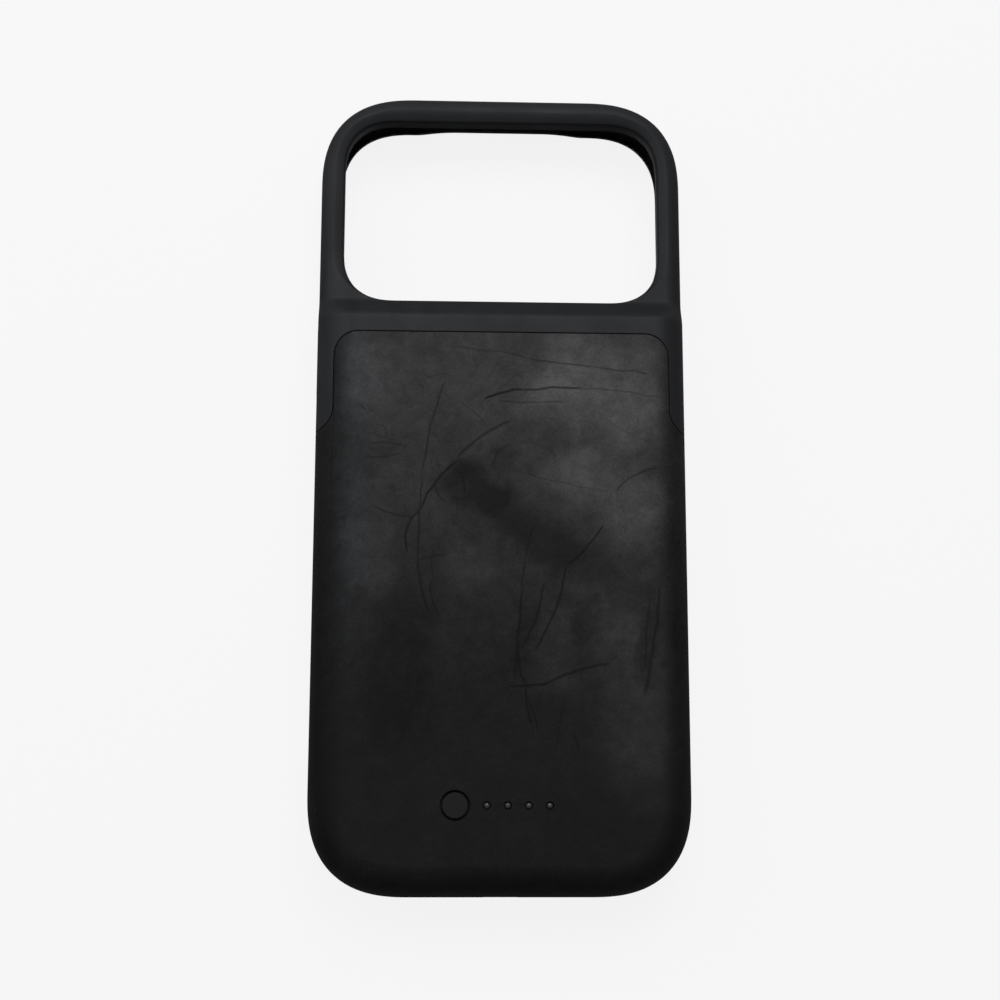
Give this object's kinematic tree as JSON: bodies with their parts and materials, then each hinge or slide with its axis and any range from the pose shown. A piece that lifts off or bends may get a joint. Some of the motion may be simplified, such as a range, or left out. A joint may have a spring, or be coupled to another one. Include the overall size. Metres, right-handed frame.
{
  "type": "battery charging case",
  "caption": "Slab phone case with a battery hump on its back, a full-width camera window, a press button beside a row of charge lights, a plug inside and an inlet at the foot.",
  "frame": {"origin": "centre of the case's outline, on the plane of the front lip that the case lies on", "axes": "+Z out of the back with the battery hump, +Y towards the camera window, +X to the right as seen from the back"},
  "size_m": [0.0772, 0.1668, 0.0186],
  "materials": {
    "frame_elastomer": "matt",
    "housing_plastic": "soft touch coating",
    "inner_plastic": "fine texture",
    "button_plastic": "matt",
    "light_guide": "clear, smoked",
    "component_plastic": "matt",
    "plunger_plastic": "matt",
    "circuit_board": "solder mask",
    "led_resin": "milky",
    "ferrite": "matt",
    "capacitor_ceramic": "satin",
    "plated_steel": "nickel plated",
    "connector_plastic": "satin",
    "flex_film": "film",
    "pouch_foil": "laminated foil",
    "adhesive_tape": "matt"
  },
  "bodies": {
    "case": {"upper_frame": "frame_elastomer", "back_housing": "housing_plastic", "inner_plate": "inner_plastic", "chin_cover": "housing_plastic", "light_guide": "light_guide", "switch_body": "component_plastic", "main_board": "circuit_board", "led_1": "led_resin", "led_2": "led_resin", "led_3": "led_resin", "led_4": "led_resin", "charge_chip": "component_plastic", "boost_chip": "component_plastic", "power_inductor": "ferrite", "capacitors": "capacitor_ceramic", "board_screws": "plated_steel", "inlet_shell": "plated_steel", "inlet_tongue": "connector_plastic", "plug_shell": "plated_steel", "plug_core": "connector_plastic", "plug_carrier": "connector_plastic", "plug_board": "circuit_board", "flex_cable": "flex_film", "battery_cell": "pouch_foil", "battery_tape": "adhesive_tape", "protection_board": "circuit_board", "battery_tabs": "plated_steel"},
    "button": {"status_button": "button_plastic", "switch_plunger": "plunger_plastic"}
  },
  "joints": [
    {"name": "button_press", "type": "slide", "parent": "case", "child": "button", "axis": [0, 0, -1], "range_m": [0, 0.0003], "stiffness_N_per_m": 6000}
  ]
}
